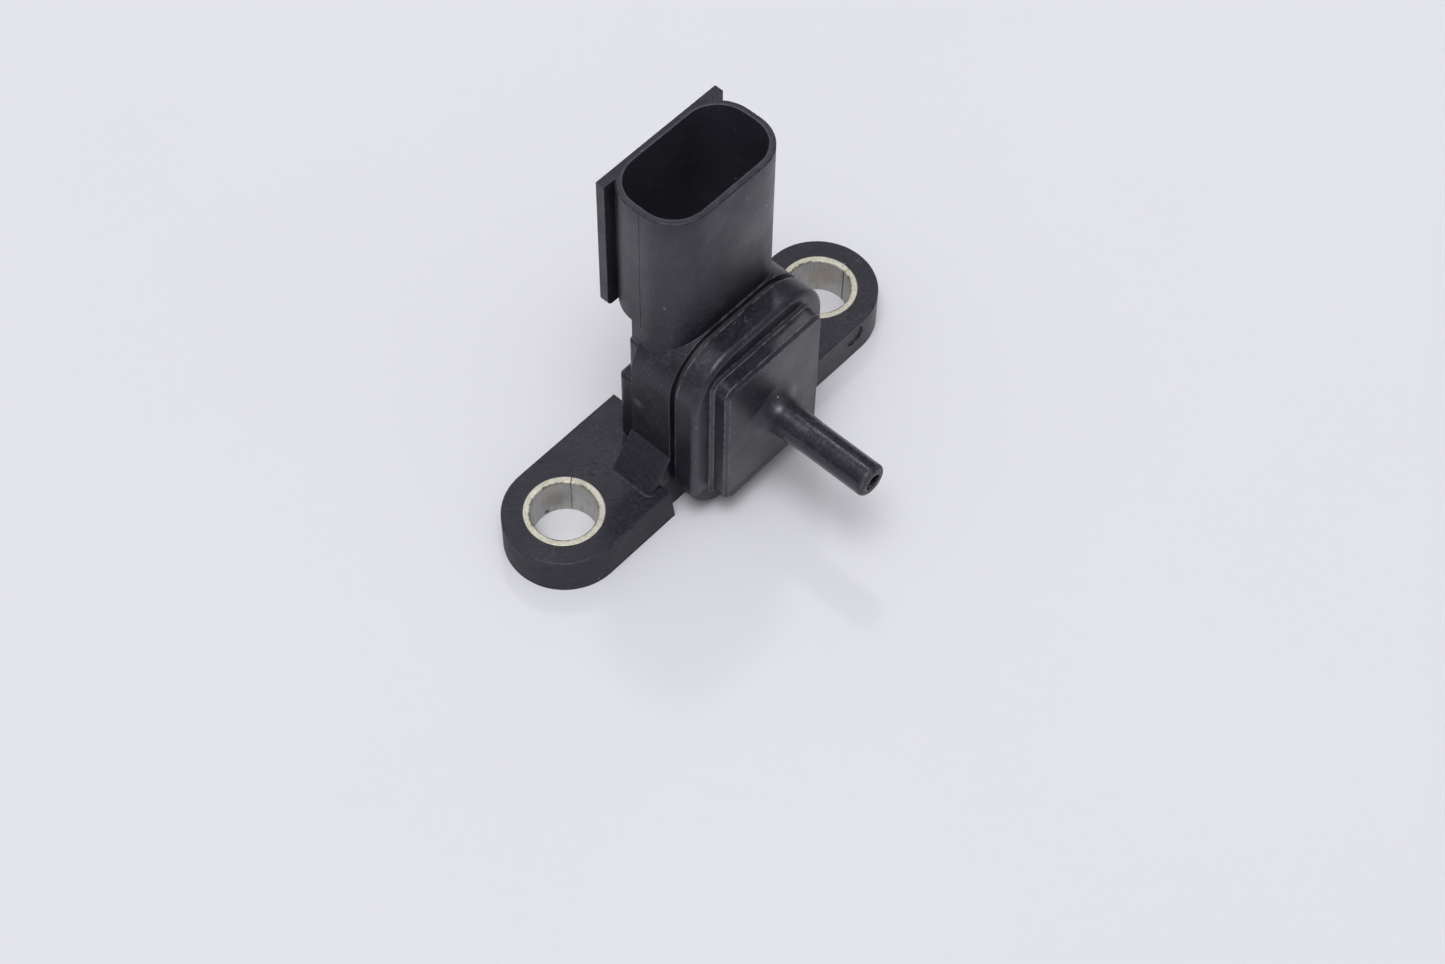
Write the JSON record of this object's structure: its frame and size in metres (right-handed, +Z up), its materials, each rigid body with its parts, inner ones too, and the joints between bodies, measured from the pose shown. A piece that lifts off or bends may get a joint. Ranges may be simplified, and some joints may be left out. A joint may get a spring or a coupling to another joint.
{
  "type": "manifold absolute pressure sensor",
  "caption": "Black moulded pressure sensor: a long flange with bushed bolt holes, an upright body, an oval connector shroud above and a hose nipple in front.",
  "frame": {"origin": "on the flange's underside, midway between the two bolt holes", "axes": "+X along the flange from hole to hole, -Y the way the nipple points, +Z up out of the connector"},
  "size_m": [0.0558, 0.0325, 0.0451],
  "materials": {
    "housing_plastic": "matt, spark-eroded texture",
    "cover_plastic": "satin, fine texture",
    "bond_silicone": "satin",
    "bushing_metal": "dull plated",
    "terminal_brass": "tinned, satin",
    "lead_metal": "satin",
    "board_ceramic": "matt",
    "pad_adhesive": "matt",
    "pedestal_glass": "clear",
    "die_silicon": "polished",
    "dam_plastic": "matt",
    "gel_silicone": "clear, glossy",
    "chip_plastic": "matt",
    "capacitor_ceramic": "satin",
    "resistor_ceramic": "satin",
    "filter_sinter": "porous, matt"
  },
  "bodies": {
    "root": {"housing": "housing_plastic", "port_cover": "cover_plastic", "adhesive_bead": "bond_silicone", "bushing_left": "bushing_metal", "bushing_right": "bushing_metal", "terminal_supply": "terminal_brass", "terminal_signal": "terminal_brass", "terminal_ground": "terminal_brass", "lead_supply": "lead_metal", "lead_signal": "lead_metal", "lead_ground": "lead_metal", "circuit_board": "board_ceramic", "board_adhesive": "pad_adhesive", "glass_pedestal": "pedestal_glass", "pressure_die": "die_silicon", "gel_dam": "dam_plastic", "protective_gel": "gel_silicone", "signal_chip": "chip_plastic", "capacitor_supply": "capacitor_ceramic", "capacitor_signal": "capacitor_ceramic", "capacitor_bypass": "capacitor_ceramic", "trim_resistor": "resistor_ceramic", "damping_filter": "filter_sinter"}
  },
  "joints": []
}
